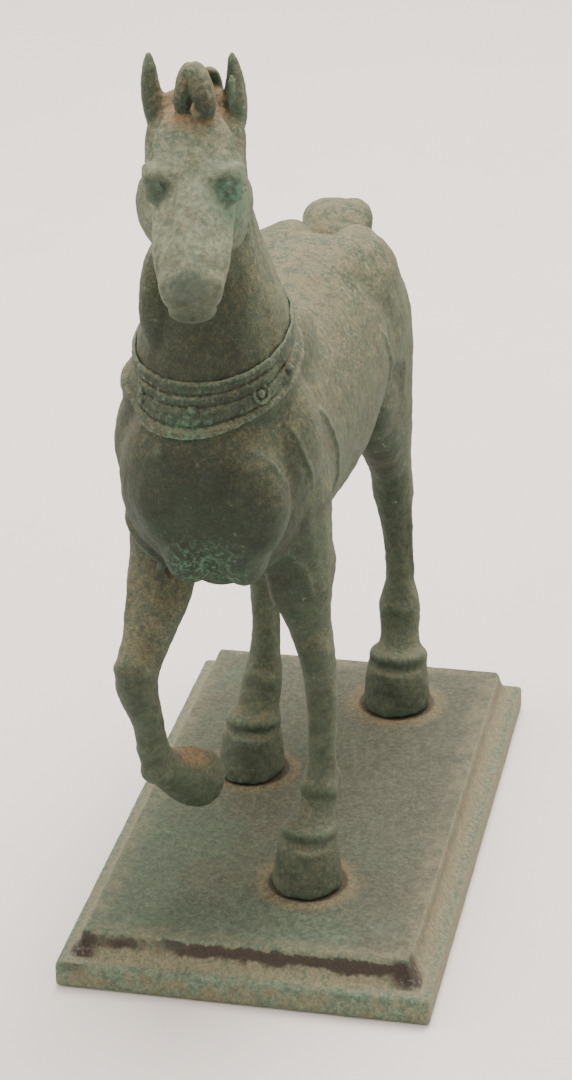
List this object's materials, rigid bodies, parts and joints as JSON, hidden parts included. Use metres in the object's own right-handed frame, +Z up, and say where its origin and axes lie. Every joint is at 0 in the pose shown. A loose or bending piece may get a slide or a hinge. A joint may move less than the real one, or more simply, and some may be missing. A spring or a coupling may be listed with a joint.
{
  "type": "bronze horse statuette",
  "caption": "Patinated cast statuette of a pacing horse with one raised foreleg, a studded collar and a tied forelock, on a stepped rectangular plinth.",
  "frame": {"origin": "centre of the whole object's footprint, at the level the plinth's rim rests on", "axes": "+Z up, the horse faces -Y, its left side is +X"},
  "size_m": [0.1, 0.1884, 0.2482],
  "materials": {
    "horse_bronze": "cast bronze with a matt green-grey patina, dusty tan on upward faces and in hollows",
    "plinth_bronze": "cast bronze with a matt green-grey patina, rubbed to dark bare metal along the edges",
    "collar_bronze": "cast bronze in relief, darker in the panel with light verdigris on the edges",
    "fixings": "turned brass, dulled"
  },
  "bodies": {
    "root": {"plinth": "plinth_bronze", "trunk": "horse_bronze", "neck_and_head": "horse_bronze", "forelock": "horse_bronze", "tail": "horse_bronze", "left_foreleg": "horse_bronze", "right_foreleg": "horse_bronze", "left_hindleg": "horse_bronze", "right_hindleg": "horse_bronze", "collar": "collar_bronze", "right_neck_pin": "fixings", "left_neck_pin": "fixings", "left_foreleg_pin": "fixings", "right_foreleg_pin": "fixings", "left_hindleg_pin": "fixings", "right_hindleg_pin": "fixings", "tail_pin": "fixings", "left_foreleg_stud": "fixings", "left_hindleg_stud": "fixings", "right_hindleg_stud": "fixings", "left_foreleg_washer": "fixings", "left_hindleg_washer": "fixings", "right_hindleg_washer": "fixings", "left_foreleg_nut": "fixings", "left_hindleg_nut": "fixings", "right_hindleg_nut": "fixings"}
  },
  "joints": []
}
